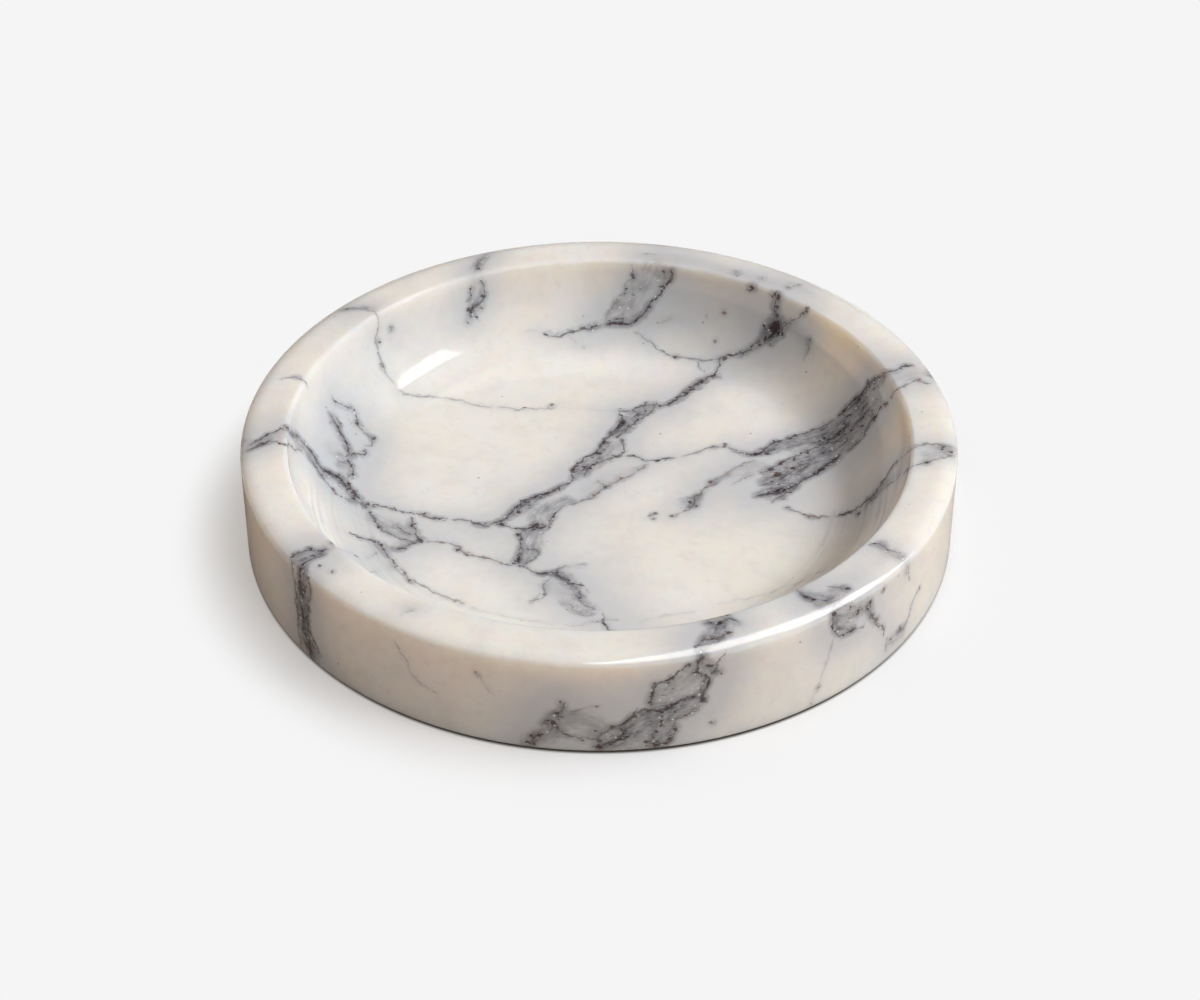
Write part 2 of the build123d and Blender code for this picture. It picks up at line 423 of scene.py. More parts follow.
# Grey translucent bands, in pixels: how grey, then points with half the width in millimetres
SEEN_BANDS = [
    (0.8, [(718, 378, 0.6), (710, 377, 1.2), (700, 383, 1.0), (686, 391, 0.4), (670, 404, 0.3)]),
    (0.8, [(655, 407, 0.6), (644, 411, 1.0), (630, 420, 1.4), (617, 433, 1.3)]),
    (0.66, [(610, 444, 1.0), (603, 455, 1.6), (592, 464, 1.5), (577, 477, 0.9)]),
    (0.8, [(562, 486, 0.4), (548, 494, 0.4), (531, 503, 1.2), (516, 512, 1.1), (503, 522, 0.6),
        (480, 526, 0.3)]),
    (0.65, [(566, 500, 1.2), (548, 508, 1.7), (538, 517, 1.7), (532, 535, 2.0), (528, 550, 1.8),
        (522, 560, 1.2)]),
    (0.75, [(542, 573, 0.6), (560, 574, 1.7), (572, 583, 1.2), (578, 598, 0.8)]),
    (0.25, [(640, 467, 0.8), (612, 476, 1.4), (585, 490, 1.3)]),
    (0.7, [(687, 506, 0.7), (694, 501, 1.2), (700, 494, 0.5)]),
    (0.5, [(712, 483, 0.6), (726, 475, 0.5)]),
    (0.87, [(750, 455, 0.4), (768, 450, 0.8), (790, 445, 1.5), (812, 441, 2.0), (830, 435, 2.2),
        (845, 424, 2.3), (860, 407, 2.3), (872, 390, 1.5), (884, 378, 0.6)]),
    (0.92, [(762, 484, 0.9), (775, 480, 2.4), (795, 471, 2.5), (815, 461, 2.3), (834, 449, 2.0),
        (850, 433, 1.8), (866, 413, 1.5), (878, 398, 1.0)]),
    (1.1, [(757, 495, 0.6), (770, 492, 1.9), (786, 486, 2.1)]),
    (0.7, [(806, 477, 0.6), (822, 467, 1.0), (838, 453, 1.2), (856, 436, 1.2), (868, 418, 0.9),
        (880, 404, 0.5)]),
    (0.3, [(728, 477, 1.2), (748, 470, 1.6), (762, 465, 1.6)]),
    (0.3, [(893, 379, 1.2), (908, 374, 1.2), (922, 373, 1.2)]),
    (0.4, [(870, 500, 0.5), (884, 486, 0.8), (896, 474, 0.6)]),
    (0.4, [(925, 454, 1.0), (940, 450, 1.2), (954, 451, 1.0)]),
    (0.55, [(248, 449, 0.6), (266, 440, 0.8), (286, 434, 0.8)]),
    (0.7, [(287, 430, 0.6), (298, 439, 1.2), (305, 448, 1.5), (316, 463, 1.1), (324, 473, 0.9)]),
    (0.75, [(324, 470, 0.8), (335, 477, 1.3), (346, 487, 1.2), (357, 500, 0.7), (369, 508, 0.4)]),
    (0.3, [(333, 450, 2.2), (341, 463, 2.2), (348, 474, 1.4)]),
    (0.42, [(376, 517, 1.2), (392, 526, 2.0), (408, 534, 1.6)]),
    (0.45, [(378, 546, 0.6), (390, 551, 1.2), (402, 546, 1.2), (418, 540, 0.6)]),
    (0.5, [(334, 414, 0.8), (338, 428, 1.2), (347, 444, 1.2), (350, 456, 1.4), (350, 470, 1.0)]),
    (0.3, [(346, 412, 1.4), (356, 430, 2.2), (364, 444, 1.8)]),
    (0.7, [(590, 328, 0.4), (606, 323, 0.6), (628, 322, 0.8), (642, 314, 0.9), (655, 299, 1.1),
        (668, 281, 1.1), (672, 268, 0.9)]),
    (0.45, [(614, 317, 1.0), (626, 309, 1.6), (639, 294, 2.1), (650, 280, 2.5), (654, 268, 2.5)]),
    (0.22, [(645, 325, 1.2), (662, 314, 2.4), (688, 318, 2.0)]),
    (1.3, [(768, 336, 2.0), (776, 327, 2.6)]),
    (0.4, [(748, 352, 0.8), (760, 344, 1.2), (770, 334, 1.6)]),
    (0.55, [(764, 339, 0.8), (775, 316, 0.8), (777, 296, 1.2)]),
    (0.4, [(750, 285, 1.0), (758, 290, 0.8)]),
    (0.3, [(788, 325, 1.4), (803, 334, 1.6), (808, 346, 1.2)]),
    (0.45, [(486, 256, 1.0), (479, 263, 1.4), (475, 271, 1.2)]),
    (0.28, [(476, 279, 1.4), (477, 297, 1.7), (471, 312, 1.3)]),
    (0.25, [(640, 256, 1.0), (668, 257, 1.8), (700, 263, 1.8), (735, 273, 1.6), (765, 281, 1.4),
        (795, 287, 1.6), (812, 294, 1.0)]),
    (0.75, [(708, 622, 1.0), (722, 620, 1.9), (718, 631, 1.8), (706, 641, 1.2)]),
    (0.8, [(703, 658, 1.0), (706, 668, 1.1), (716, 670, 0.8)]),
    (0.5, [(694, 674, 1.6), (682, 685, 2.2), (664, 696, 1.8)]),
    (0.9, [(706, 680, 0.6), (700, 695, 1.0), (684, 704, 1.2), (664, 712, 1.8), (645, 723, 2.4),
        (632, 733, 2.2), (618, 742, 1.6), (600, 749, 1.2)]),
    (0.8, [(690, 706, 1.0), (672, 716, 1.5), (660, 730, 2.2), (652, 742, 1.8)]),
    (0.45, [(594, 728, 2.4), (575, 724, 3.0), (556, 722, 2.2)]),
    (0.68, [(532, 741, 1.4), (548, 732, 2.0), (557, 720, 2.2)]),
    (0.8, [(563, 707, 0.8), (557, 718, 1.1), (543, 730, 0.9), (530, 740, 0.6)]),
    (0.8, [(300, 559, 1.0), (312, 554, 1.1), (326, 549, 0.7)]),
    (1.25, [(301, 573, 1.2), (303, 596, 1.5), (304, 620, 1.4), (307, 642, 1.5), (313, 656, 1.5)]),
    (0.7, [(805, 594, 1.0), (818, 600, 2.2), (832, 598, 1.6), (845, 590, 0.8)]),
    (0.75, [(836, 612, 1.2), (838, 628, 1.4), (850, 628, 1.0)]),
    (0.7, [(840, 614, 2.2), (856, 611, 2.4), (867, 604, 1.2)]),
    (0.6, [(868, 600, 0.9), (867, 609, 1.1), (873, 617, 0.7)]),
    (0.4, [(892, 641, 1.6), (902, 634, 1.3)]),
    (0.35, [(880, 546, 1.0), (892, 553, 1.5), (902, 559, 1.3)]),
    (0.25, [(404, 606, 0.8), (416, 608, 0.8)]),
    (0.35, [(342, 311, 0.6), (358, 307, 1.0), (374, 307, 0.6)]),
    (0.06, [(352, 345, 5.0), (340, 375, 6.0), (352, 402, 5.0), (372, 440, 4.0)]),
    (0.08, [(392, 330, 3.0), (420, 330, 4.0), (452, 318, 3.0)]),
    (0.10, [(660, 300, 4.0), (700, 300, 5.0), (740, 310, 4.0)]),
    (0.3, [(548, 584, 1.6), (570, 594, 2.6), (586, 609, 1.8)]),
    (0.06, [(800, 540, 2.0), (840, 530, 3.0), (875, 510, 3.0)]),
]

# Bands inside the front wall, in millimetres of x and y
HIDDEN_BANDS = [
    (0.6, [(17.5, -52.4, 0.8), (14, -49.5, 1.4), (8, -46.5, 1.4), (3, -42, 1.4)]),
    (0.5, [(-45, -33.4, 0.8), (-43.5, -30, 1.2), (-44.5, -24, 1.2)]),
]

# Bands round the back of the outer wall, in degrees round it and millimetres of height
BACK_BANDS = [
    (0.45, [(110.5, 19.4, 0.8), (109, 12, 1.2), (107, 4, 1.0)]),
    (0.6, [(79, 19.4, 0.8), (77, 12, 1.8), (74, 4, 1.6)]),
    (0.75, [(16, 19.4, 1.6), (18, 12, 2.4), (21, 7, 2.6), (25, 1, 2.6)]),
    (0.5, [(183, 19.4, 0.8), (179, 12, 1.4), (174, 3, 1.6)]),
    (0.3, [(52, 17, 0.8), (53, 10, 1.2), (64, 5, 1.0)]),
]

# Bands across the base, in millimetres of x and y
BASE_BANDS = [
    (0.8, [(6, -61, 2.4), (8, -50, 3.6), (7, -38, 2.8), (3, -24, 1.6), (-2, -10, 1.0)]),
    (0.5, [(-49, -38, 2.0), (-38, -28, 2.2), (-26, -18, 1.4)]),
    (0.7, [(27, -9, 1.0), (40, -2, 2.4), (50, 8, 3.2), (55, 24, 2.4)]),
    (0.4, [(2, 14, 1.4), (6, 29, 1.8), (15, 46, 1.4)]),
    (0.3, [(-20, 2, 1.6), (-38, 5, 2.4), (-52, 6, 1.6)]),
]

BANDS = {
    "seen": SEEN_BANDS,
    "above": HIDDEN_BANDS,
    "side": BACK_BANDS,
    "below": BASE_BANDS,
}

# Dark grains that stand out in the photograph: pixel, radius in millimetres, how rusty
CLOTS = [
    # Right of the bowl
    (774, 328, 1.05, 0.05), (764, 326, 0.3, 0.1), (766, 338, 0.4, 0.1), (758, 345, 0.3, 0.2),
    (777, 308, 0.45, 0.1), (778, 299, 0.35, 0.2), (751, 288, 0.4, 0.2), (737, 272, 0.25, 0.1),
    (762, 279, 0.25, 0.2), (788, 288, 0.25, 0.3), (800, 285, 0.25, 0.2), (804, 313, 0.35, 0.3),
    (633, 275, 0.4, 0.3), (616, 305, 0.3, 0.4), (663, 272, 0.3, 0.3), (648, 305, 0.3, 0.3),
    (777, 475, 0.8, 0.36), (724, 357, 0.45, 0.1), (742, 354, 0.3, 0.5),
    (675, 357, 0.3, 0.2), (645, 403, 0.35, 0.4), (654, 403, 0.3, 0.3), (659, 406, 0.4, 0.1),
    (619, 411, 0.3, 0.3), (622, 422, 0.45, 0.0), (690, 388, 0.35, 0.2), (701, 382, 0.45, 0.0),
    (680, 399, 0.3, 0.2), (726, 445, 0.45, 0.4), (714, 447, 0.3, 0.4), (747, 454, 0.45, 0.2),
    (768, 453, 0.45, 0.1), (773, 442, 0.4, 0.2), (789, 438, 0.35, 0.2), (845, 410, 0.45, 0.0),
    (869, 381, 0.5, 0.0), (860, 398, 0.4, 0.0), (839, 434, 0.5, 0.0), (825, 438, 0.4, 0.0),
    (807, 452, 0.35, 0.0), (795, 459, 0.4, 0.0), (781, 463, 0.4, 0.0), (772, 469, 0.5, 0.1),
    (887, 403, 0.4, 0.1), (874, 420, 0.35, 0.1), (858, 439, 0.3, 0.1), (821, 470, 0.4, 0.1),
    (833, 462, 0.35, 0.2), (712, 482, 0.4, 0.4), (691, 502, 0.6, 0.1), (695, 506, 0.35, 0.2),
    (655, 513, 0.28, 0.4), (652, 518, 0.25, 0.5), (673, 517, 0.3, 0.3), (786, 508, 0.35, 0.4),
    (784, 499, 0.4, 0.6), (810, 517, 0.3, 0.7), (620, 479, 0.3, 0.6), (607, 486, 0.4, 0.3),
    (595, 495, 0.3, 0.8), (811, 339, 0.35, 0.1), (725, 313, 0.3, 0.7), (716, 342, 0.25, 0.7),
    (869, 501, 0.4, 0.1), (857, 515, 0.4, 0.1), (898, 462, 0.3, 0.1),
    # Left and foot of the bowl
    (286, 427, 0.4, 0.0), (309, 449, 0.4, 0.0), (320, 475, 0.3, 0.1), (335, 476, 0.5, 0.0),
    (354, 475, 0.35, 0.1), (355, 410, 0.4, 0.3), (357, 424, 0.3, 0.2), (373, 438, 0.4, 0.3),
    (366, 456, 0.35, 0.2), (424, 514, 0.4, 0.1), (434, 518, 0.3, 0.1), (414, 524, 0.35, 0.1),
    (421, 541, 0.55, 0.0), (396, 567, 0.4, 0.1), (411, 580, 0.3, 0.5), (458, 550, 0.35, 0.2),
    (469, 554, 0.3, 0.5), (513, 563, 0.4, 0.1), (518, 535, 0.45, 0.0), (501, 524, 0.4, 0.0),
    (535, 525, 0.35, 0.0), (553, 516, 0.3, 0.1), (535, 497, 0.35, 0.0), (518, 512, 0.45, 0.0),
    (573, 470, 0.5, 0.0), (584, 467, 0.4, 0.0), (483, 296, 0.4, 0.2), (483, 308, 0.35, 0.2),
    (470, 312, 0.45, 0.1), (469, 323, 0.3, 0.2), (390, 329, 0.3, 0.3), (378, 342, 0.28, 0.1),
    (383, 366, 0.3, 0.1), (553, 406, 0.35, 0.3),
    # Rim
    (269, 435, 0.35, 0.2), (298, 377, 0.3, 0.6), (310, 549, 0.35, 0.1), (294, 557, 0.4, 0.0),
    (332, 573, 0.3, 0.1), (319, 566, 0.25, 0.1), (807, 310, 0.4, 0.4), (905, 366, 0.4, 0.0),
    (918, 380, 0.3, 0.7), (885, 374, 0.35, 0.2), (945, 448, 0.4, 0.1), (953, 452, 0.4, 0.1),
    (928, 463, 0.35, 0.1), (885, 542, 0.3, 0.3), (727, 615, 0.4, 0.1), (740, 624, 0.3, 0.2),
    (697, 645, 0.4, 0.3), (712, 641, 0.3, 0.1), (805, 596, 0.35, 0.1), (848, 589, 0.4, 0.1),
    # Outer wall
    (688, 665, 0.45, 0.3), (671, 680, 0.35, 0.3), (656, 685, 0.3, 0.3), (650, 703, 0.35, 0.2),
    (635, 716, 0.5, 0.0), (612, 727, 0.35, 0.2), (596, 729, 0.4, 0.4), (599, 739, 0.35, 0.3),
    (601, 746, 0.4, 0.2), (582, 739, 0.25, 0.4), (554, 721, 0.45, 0.2), (559, 703, 0.3, 0.1),
    (527, 741, 0.4, 0.3), (533, 738, 0.3, 0.2), (710, 667, 0.5, 0.0), (722, 674, 0.4, 0.1),
    (703, 701, 0.5, 0.1), (708, 682, 0.5, 0.0), (675, 729, 0.4, 0.1), (669, 738, 0.45, 0.1),
    (654, 745, 0.5, 0.1), (647, 741, 0.35, 0.2), (713, 721, 0.28, 0.6), (818, 687, 0.35, 0.5),
    (811, 704, 0.3, 0.4), (477, 672, 0.3, 0.9), (834, 613, 0.4, 0.1), (842, 636, 0.4, 0.1),
    (853, 631, 0.3, 0.1), (876, 621, 0.4, 0.5), (870, 603, 0.4, 0.0), (919, 589, 0.3, 0.5),
    (907, 571, 0.3, 0.4), (900, 629, 0.35, 0.3), (890, 641, 0.35, 0.3), (883, 589, 0.35, 0.7),
]

# In millimetres, how far from its route a vein draws at full strength and at all, how far it keeps
# another vein out of its set, and how long its ends taper: at most a third of a short one's length.
# Six sets are kept, three to each attribute of the mesh.
VEIN_FULL = 1.2
VEIN_REACH = 1.9
VEIN_CLEAR = 2.6
VEIN_TAPER = 1.0
MOST_TAPER = 1 / 3
VEIN_SETS = 6
PER_STORE = 3

# Pale halos beside veins and bands, and how far a vein lends the stone its rust
HALO_WIDTH = 3.4
VEIN_HALO = 0.55
VEIN_HALO_WIDTH = 2.3
VEIN_SEARCH = HALO_WIDTH * 3
BAND_HALO_LEAST = 0.25
BAND_SEARCH = 14.0
RUST_SPREAD = 0.8

# Where two bands meet, their greys blend over this distance, looked at within this range
GREY_BLEND = 0.5
GREY_RANGE = (-3, 12)

# Stand-ins where no route is near, and the shortest step that counts as one
FAR_OFF = 9.0
NO_RUST = 1e-6
NO_GREY = 1e-9
SHORTEST = 1e-6

# How far out a ray starts, and the share that is cut off each side of a route's corner
OUTSIDE = 100
CORNER_CUT = 0.25
CORNER_CUTS = 2


def from_pixel(x, y):
    """The camera's ray through a pixel of the photograph."""
    direction = CAMERA_RIGHT * (x - PHOTO_WIDTH / 2) - CAMERA_UP * (y - PHOTO_HEIGHT / 2)
    return CAMERA_PLACE, direction - TOWARDS_CAMERA * FOCAL_PX


def from_above(x, y):
    """A ray straight down."""
    return Vector((x, y, OUTSIDE)), Vector((0, 0, -1))


def from_below(x, y):
    """A ray straight up."""
    return Vector((x, y, -OUTSIDE)), Vector((0, 0, 1))


def from_side(azimuth, height):
    """A level ray to the turning axis."""
    outward = Vector((math.cos(math.radians(azimuth)), math.sin(math.radians(azimuth)), 0))
    return outward * OUTSIDE + Vector((0, 0, height)), -outward


# Each kind of route: its ray, and the step between rays in the route's own unit
RAYS = {
    "seen": (from_pixel, 3.0),
    "above": (from_above, 0.6),
    "side": (from_side, 0.6),
    "below": (from_below, 1.2),
}


def soften(points):
    """The points of a route with each corner cut."""
    points = np.array(points, float)
    for _ in range(CORNER_CUTS):
        if len(points) < 3:
            return points
        early = points[:-1] * (1 - CORNER_CUT) + points[1:] * CORNER_CUT
        late = points[:-1] * CORNER_CUT + points[1:] * (1 - CORNER_CUT)
        inner = np.stack([early, late], 1).reshape(-1, points.shape[1])
        points = np.vstack([points[:1], inner[1:-1], points[-1:]])
    return points


def lay_route(stone, kind, points):
    """A route's points on the stone's surface, the side they lead past, and their further numbers."""
    cast, step = RAYS[kind]
    points = soften(points)
    dense = [points[0]]
    for start, end in zip(points, points[1:]):
        count = max(1, math.ceil(np.linalg.norm(end[:2] - start[:2]) / step))
        dense += [start + (end - start) * i / count for i in range(1, count + 1)]
    places, normals, extra = [], [], []
    for point in dense:
        origin, direction = cast(point[0], point[1])
        place, normal, _, _ = stone.ray_cast(origin, direction.normalized())
        if place is not None:
            places.append(place)
            normals.append(normal)
            extra.append(point[2:])
    return np.array(places), np.array(normals), np.array(extra)


def nearest_on_route(verts, places, normals):
    """For each vertex: the nearest step of the route, the share along it, the signed distance, and
    the length so far. Last comes the whole length."""
    starts, runs = places[:-1], places[1:] - places[:-1]
    lengths = np.linalg.norm(runs, axis=1)
    keep = lengths > SHORTEST
    index = np.nonzero(keep)[0]
    starts, runs, lengths = starts[keep], runs[keep], lengths[keep]
    sides = np.cross(normals[:-1][keep], runs)
    along = np.concatenate([[0], np.cumsum(lengths)[:-1]])
    apart = verts[:, None, :] - starts[None]
    share = np.clip((apart * runs).sum(2) / lengths ** 2, 0, 1)
    apart -= share[..., None] * runs[None]
    distance = np.linalg.norm(apart, axis=2)
    best = distance.argmin(1)
    rows = np.arange(len(verts))
    sign = np.where((apart[rows, best] * sides[best]).sum(1) < 0, -1.0, 1.0)
    distance = distance[rows, best] * sign
    share = share[rows, best]
    return index[best], share, distance, along[best] + share * lengths[best], lengths.sum()


def routes(groups):
    """Every route of the groups, with its kind put first."""
    return [(kind, *route) for kind, group in groups.items() for route in group]


def near(verts, places, reach):
    """The numbers of the vertices within reach of a route's box."""
    inside = (verts > places.min(0) - reach) & (verts < places.max(0) + reach)
    return np.nonzero(inside.all(1))[0]


def lay_veins(stone, verts):
    """Signed distances and strengths of the veins, in sets where they keep clear of each other, then
    their halo and their rust."""
    offsets = np.full((VEIN_SETS, len(verts)), FAR_OFF)
    powers = np.zeros((VEIN_SETS, len(verts)))
    clear = np.ones(len(verts))
    rust = np.zeros(len(verts))
    rust_weight = np.full(len(verts), NO_RUST)
    for kind, strength, rusty, points in sorted(routes(VEINS), key=lambda vein: -vein[1]):
        places, normals, _ = lay_route(stone, kind, points)
        if len(places) < 2:
            continue
        some = near(verts, places, VEIN_SEARCH)
        _, _, distance, along, length = nearest_on_route(verts[some], places, normals)
        gap = np.abs(distance)
        taper = min(VEIN_TAPER, length * MOST_TAPER)
        ends = np.clip(np.minimum(along, length - along) / taper, 0, 1)
        fall = np.clip((VEIN_REACH - gap) / (VEIN_REACH - VEIN_FULL), 0, 1)
        power = strength * ends * fall
        held = gap < VEIN_CLEAR
        used = [(powers[k, some[held]] > 0).sum() for k in range(VEIN_SETS)]
        k = int(np.argmin(used))
        write = held & (power >= powers[k, some])
        offsets[k, some[write]] = distance[write]
        powers[k, some[write]] = power[write]
        clear[some] *= 1 - VEIN_HALO * strength * np.exp(-gap / VEIN_HALO_WIDTH)
        weight = strength * np.exp(-gap / RUST_SPREAD)
        rust[some] += rusty * weight
        rust_weight[some] += weight
    return offsets, powers, 1 - clear, rust / rust_weight


def lay_bands(stone, verts):
    """Distance past the bands' edge, the way along and across them, how grey, and their halo."""
    edge = np.full(len(verts), FAR_OFF * 3)
    way = np.zeros((len(verts), 2))
    clear = np.ones(len(verts))
    grey = np.zeros(len(verts))
    weight_sum = np.full(len(verts), NO_GREY)
    for kind, depth, points in routes(BANDS):
        places, normals, widths = lay_route(stone, kind, points)
        widths = widths[:, 0]
        some = near(verts, places, BAND_SEARCH)
        index, share, distance, along, _ = nearest_on_route(verts[some], places, normals)
        width = widths[index] + (widths[index + 1] - widths[index]) * share
        gap = np.abs(distance) - width
        nearer = gap < edge[some]
        edge[some[nearer]] = gap[nearer]
        way[some[nearer]] = np.stack([along, distance], 1)[nearer]
        weight = np.exp(-np.clip(gap, *GREY_RANGE) / GREY_BLEND)
        grey[some] += depth * weight
        weight_sum[some] += weight
        halo = BAND_HALO_LEAST + (1 - BAND_HALO_LEAST) * depth
        clear[some] *= 1 - halo * np.exp(-np.maximum(gap, 0) / HALO_WIDTH)
    return edge, way, grey / weight_sum, 1 - clear


def lay_clots(stone, verts):
    """Distance past the edge of the nearest clot, and how rusty that one is. Each sits on a vertex."""
    past = np.full(len(verts), FAR_OFF)
    rust = np.zeros(len(verts))
    for x, y, radius, rusty in CLOTS:
        origin, direction = from_pixel(x, y)
        place, _, _, _ = stone.ray_cast(origin, direction.normalized())
        middle = verts[np.linalg.norm(verts - np.array(place), axis=1).argmin()]
        gap = np.linalg.norm(verts - middle, axis=1) - radius
        nearer = gap < past
        past[nearer] = gap[nearer]
        rust[nearer] = rusty
    return past, rust


def store(mesh, name, *columns):
    """Three numbers for each vertex, kept on the mesh under a name."""
    columns = list(columns) + [np.zeros(len(mesh.vertices))] * (PER_STORE - len(columns))
    kept = mesh.attributes.new(name, "FLOAT_VECTOR", "POINT")
    kept.data.foreach_set("vector", np.stack(columns, 1).astype(np.float32).ravel())


def make_dish():
    """The dish, with its veins' places kept on its vertices."""
    form = turn_dish()
    stone = BVHTree.FromBMesh(form)
    verts = np.array([vert.co for vert in form.verts], float)
    bmesh.ops.scale(form, vec=(MM, MM, MM), verts=form.verts)
    dish = make_object("marble_dish", form)
    offsets, powers, vein_halo, rust = lay_veins(stone, verts)
    edge, way, grey, band_halo = lay_bands(stone, verts)
    past_clot, clot_rust = lay_clots(stone, verts)
    for number in range(VEIN_SETS // PER_STORE):
        some = slice(number * PER_STORE, (number + 1) * PER_STORE)
        store(dish.data, f"vein_offset_{number}", *offsets[some])
        store(dish.data, f"vein_power_{number}", *powers[some])
    store(dish.data, "band", way[:, 0], way[:, 1], edge)
    store(dish.data, "cloud", grey, 1 - (1 - vein_halo) * (1 - band_halo), rust)
    store(dish.data, "clots", past_clot, clot_rust)
    return dish


# Finishes
class Tone:
    """A shader value. Arithmetic on it adds the Math nodes."""

    def __init__(self, finish, socket):
        self.finish = finish
        self.socket = socket

    def __add__(self, other):
        return self.finish.maths("ADD", self, other)

    def __radd__(self, other):
        return self.finish.maths("ADD", other, self)

    def __sub__(self, other):
        return self.finish.maths("SUBTRACT", self, other)

    def __rsub__(self, other):
        return self.finish.maths("SUBTRACT", other, self)

    def __mul__(self, other):
        return self.finish.maths("MULTIPLY", self, other)

    def __rmul__(self, other):
        return self.finish.maths("MULTIPLY", other, self)

    def __abs__(self):
        return self.finish.maths("ABSOLUTE", self)


# The Mix node's colour sockets, by number, because its other kinds of socket have the same names
MIX_SHARE = 0
MIX_FIRST = 6
MIX_SECOND = 7
MIX_RESULT = 2


class Finish:
    """One material and the nodes that make it."""

    def __init__(self, name):
        self.material = bpy.data.materials.new(name)
        self.material.use_nodes = True
        self.tree = self.material.node_tree
        self.shader = self.tree.nodes["Principled BSDF"]

    def node(self, kind, settings=None, values=None, output=0):
        """A node of a type, set up first, then given values or links for its sockets."""
        made = self.tree.nodes.new("ShaderNode" + kind)
        for name, value in (settings or {}).items():
            setattr(made, name, value)
        for name, value in (values or {}).items():
            self.plug(made.inputs[name], value)
        return Tone(self, made.outputs[output])

    def plug(self, socket, value):
        """A link into a socket, or a plain value set on it."""
        if isinstance(value, Tone):
            self.tree.links.new(value.socket, socket)
        else:
            socket.default_value = value

    def coat(self, values):
        """Values or links for the shader's own sockets."""
        for name, value in values.items():
            self.plug(self.shader.inputs[name], value)

    def maths(self, operation, *values):
        """One Math node."""
        return self.node("Math", {"operation": operation}, dict(enumerate(values)))

    def most(self, first, *others):
        """The largest of some values."""
        for other in others:
            first = self.maths("MAXIMUM", first, other)
        return first

    def fade(self, value, full, gone):
        """1 up to full, easing down to 0 at gone."""
        ends = {"Value": value, "From Min": full, "From Max": gone, "To Min": 1.0, "To Max": 0.0}
        return self.node("MapRange", {"interpolation_type": "SMOOTHSTEP"}, ends)

    def rise(self, value, none, full):
        """0 up to none, easing up to 1 at full."""
        ends = {"Value": value, "From Min": none, "From Max": full}
        return self.node("MapRange", {"interpolation_type": "SMOOTHSTEP"}, ends)

    def mix(self, share, first, second):
        """The first colour with a share of the second laid over it."""
        colours = {MIX_SHARE: share, MIX_FIRST: first, MIX_SECOND: second}
        return self.node("Mix", {"data_type": "RGBA"}, colours, output=MIX_RESULT)

    def place(self):
        """Object coordinates in millimetres."""
        here = self.node("TexCoord", output="Object")
        return self.node("VectorMath", {"operation": "SCALE"}, {0: here, "Scale": 1 / MM})

    def parts(self, vector):
        """The three numbers of a vector or colour."""
        split = self.node("SeparateXYZ", values={"Vector": vector})
        sockets = split.socket.node.outputs
        return [Tone(self, socket) for socket in sockets]

    def joined(self, x, y, z):
        """A vector of three numbers."""
        return self.node("CombineXYZ", values={"X": x, "Y": y, "Z": z})

    def kept(self, name):
        """Three numbers kept on the mesh's vertices."""
        return self.node("Attribute", {"attribute_name": name}, output="Vector")

    def noise(self, vector, size, detail=2.0, roughness=0.5):
        """Noise whose lumps are of a size in the vector's own unit."""
        values = {"Vector": vector, "Scale": 1 / size, "Detail": detail, "Roughness": roughness}
        return self.node("TexNoise", values=values)

    def swing(self, vector, size, detail=2.0, roughness=0.5):
        """The same noise about its middle, so that it also goes below 0."""
        return self.noise(vector, size, detail, roughness) - MIDDLE

    def cells(self, vector, size):
        """Crystal cells: how far the nearest seed is, in cell sizes, and the cell's three random
        numbers."""
        seeds = self.node("TexVoronoi", values={"Vector": vector, "Scale": 1 / size})
        colour = Tone(self, seeds.socket.node.outputs["Color"])
        return seeds, self.parts(colour)


# Colours of the stone
CREAM = (0.884, 0.850, 0.800, 1)
WARM_CREAM = (0.880, 0.828, 0.757, 1)
DULL_CREAM = (0.730, 0.695, 0.645, 1)
# A painted glow rather than the stone's own colour: light shining through the rim into the shaded wall
PAINTED_GLOW_HONEY = (0.900, 0.800, 0.590, 1)
COOL_WHITE = (0.650, 0.650, 0.652, 1)
SMOKE = (0.40, 0.398, 0.408, 1)
BLUE_GREY = (0.190, 0.184, 0.197, 1)
DARK_GREY = (0.040, 0.034, 0.037, 1)
VEIN_BROWN = (0.068, 0.041, 0.042, 1)
RUST = (0.30, 0.165, 0.09, 1)
CRYSTAL = (0.90, 0.90, 0.92, 1)
GOLDEN = (0.33, 0.21, 0.12, 1)

# From here on sizes are in millimetres, and a pair says where a rise or a fade starts and ends.
# How far the veins and bands stray: a slow wander, and a jog at each small and large crystal
WANDER = 2.6
WANDER_SIZE = 4.5
SMALL_CRYSTAL = 0.8
SMALL_JOG = 0.35
LARGE_CRYSTAL = 1.9
LARGE_JOG = 0.45

# Half the width of a vein's dark line and of its haze. The line is pinched and swells on its way.
LINE_WIDTH = 0.36
HAZE_WIDTH = 1.7
PINCH_SIZE = 3.2
PINCH_MOST = 2.6
PINCH_SWING = 3.2
PINCH_LEAST = 0.45

# Grey bands: how soft their edge is, and the streaks along them. Then the crowding of grains, the
# grey round a clot, and the middle of a random number.
BODY_EDGE = (-1.3, 1.6)
BODY_STRAY = 0.8
STREAK_SIZE = 1.3
STREAK_ALONG = 0.45
STREAK_ACROSS = 1.2
STREAK_BEND = 0.5
CROWD_SIZE = 2.8
SMUDGE_REACH = 1.4
MIDDLE = 0.5

# How much grey each of them adds
HAZE_GREY = 0.34
HAZE_GREY_IN_BAND = 0.44
CORE_GREY = 0.42
BODY_GREY = 0.73
SMUDGE_GREY = 0.25
STREAK_GREY = 2.0
CROWD_GREY = 0.6
UNEVEN_GREY = (0.06, 0.4)

